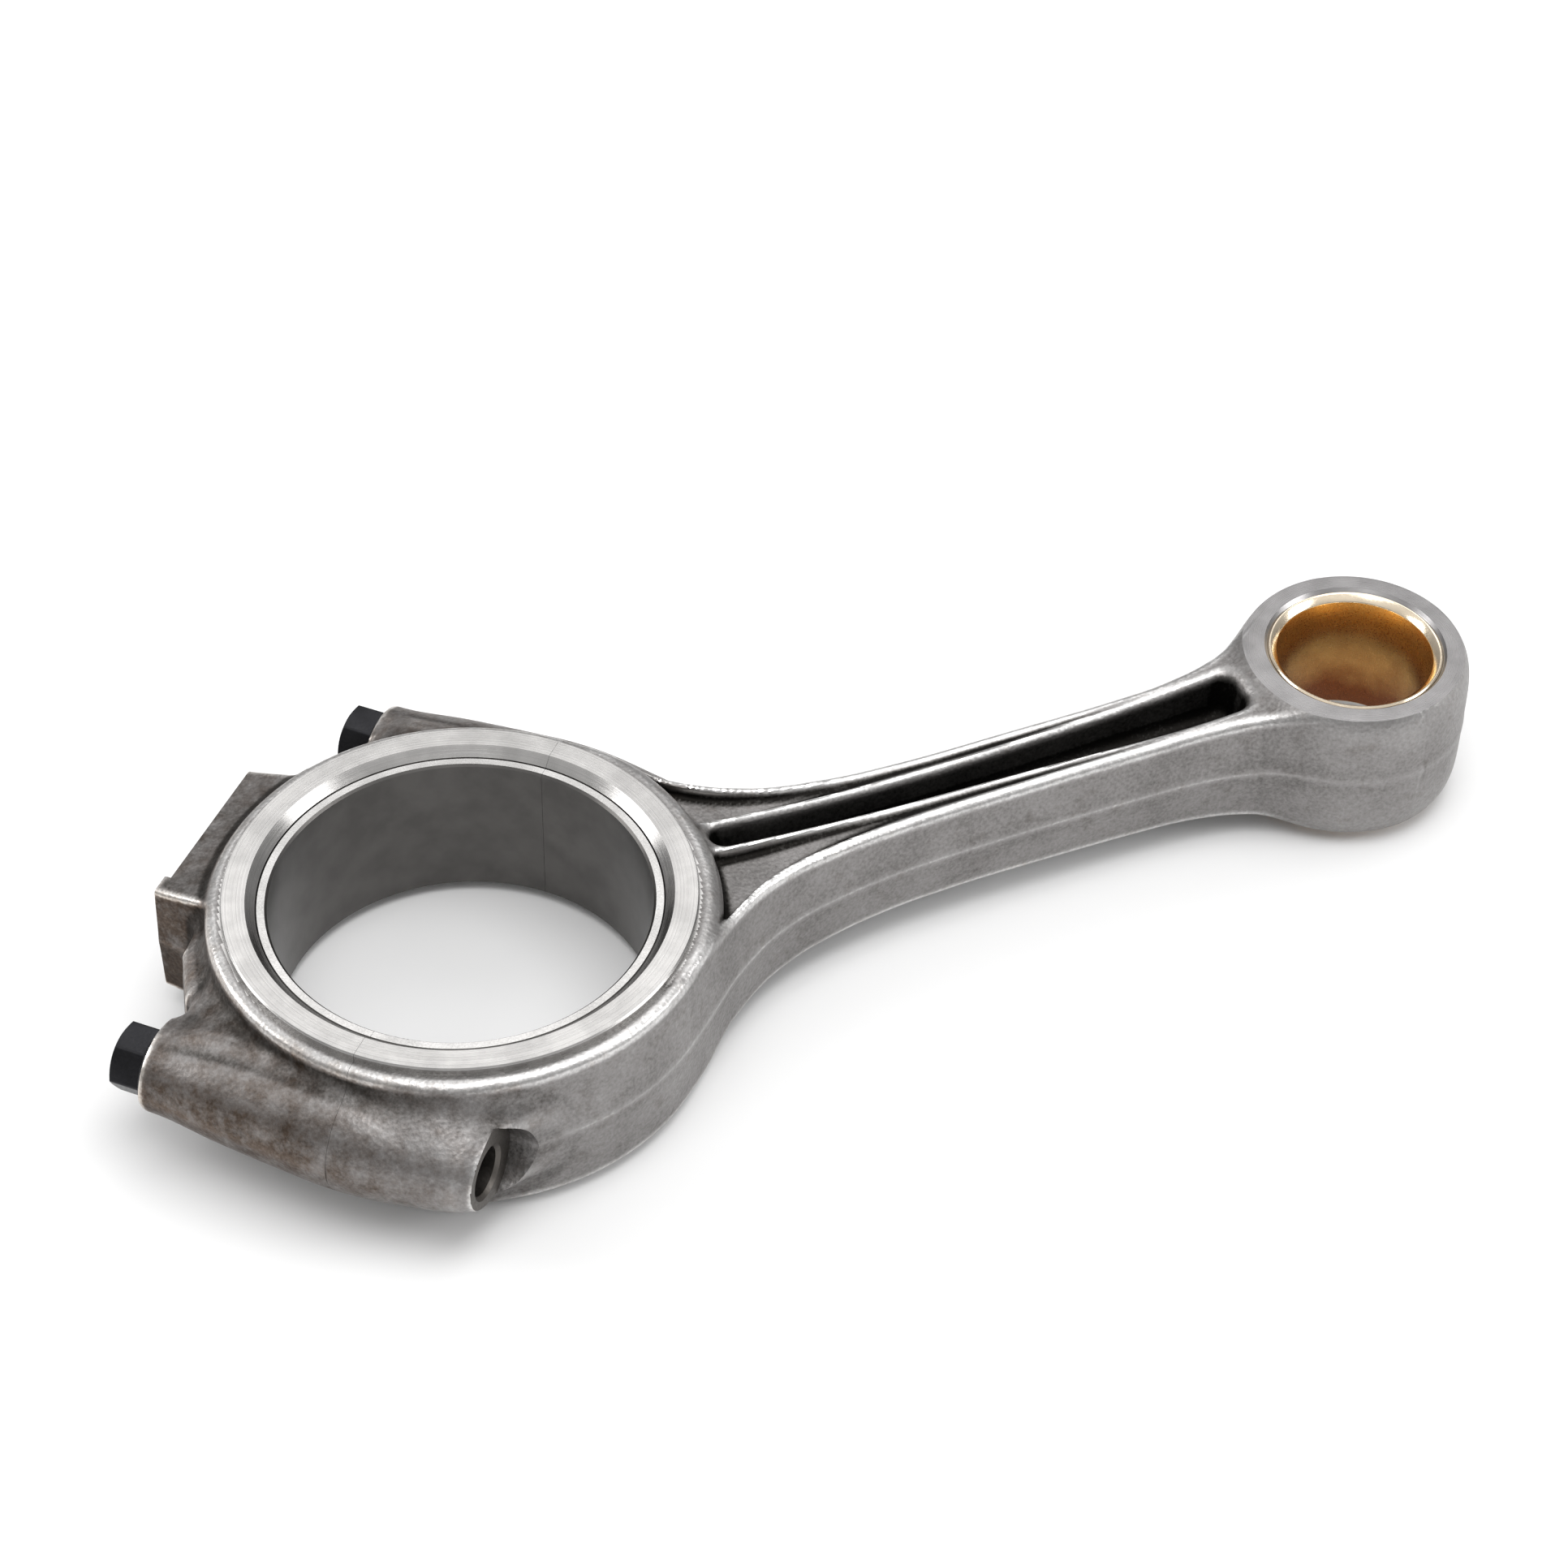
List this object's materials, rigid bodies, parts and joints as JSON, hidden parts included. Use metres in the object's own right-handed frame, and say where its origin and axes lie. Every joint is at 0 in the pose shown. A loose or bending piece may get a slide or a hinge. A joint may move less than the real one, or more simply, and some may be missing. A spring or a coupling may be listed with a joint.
{
  "type": "connecting rod",
  "caption": "Forged steel connecting rod with an obliquely split big end, bolted cap, bearing shells and a bronze small-end bush; the cap and its bolts come off.",
  "frame": {"origin": "middle of the bounding box, on the plane that the big end's lower side face rests on", "axes": "+X from the big end to the small end, +Z along both bores, +Y across the rod; the cap comes off towards -X+Y"},
  "size_m": [0.3088, 0.139, 0.039],
  "materials": {
    "forged_steel": "shot-blasted forging, machined side faces",
    "bush_bronze": "satin",
    "black_bolt_steel": "black oxide",
    "bearing_overlay": "smooth grey overlay",
    "ground_steel": "ground"
  },
  "bodies": {
    "rod": {"rod_body": "forged_steel", "small_end_bush": "bush_bronze", "rod_bearing_shell": "bearing_overlay", "near_dowel_sleeve": "ground_steel", "far_dowel_sleeve": "ground_steel"},
    "cap": {"bearing_cap": "forged_steel", "cap_bearing_shell": "bearing_overlay"},
    "near_bolt": {"near_cap_bolt": "black_bolt_steel"},
    "far_bolt": {"far_cap_bolt": "black_bolt_steel"}
  },
  "joints": [
    {"name": "cap_off", "type": "slide", "parent": "rod", "child": "cap", "axis": [-0.7071, 0.7071, 0], "range_m": [0, 0.06]},
    {"name": "near_bolt_out", "type": "slide", "parent": "cap", "child": "near_bolt", "axis": [-0.7071, 0.7071, 0], "range_m": [0, 0.068]},
    {"name": "far_bolt_out", "type": "slide", "parent": "cap", "child": "far_bolt", "axis": [-0.7071, 0.7071, 0], "range_m": [0, 0.068]}
  ]
}
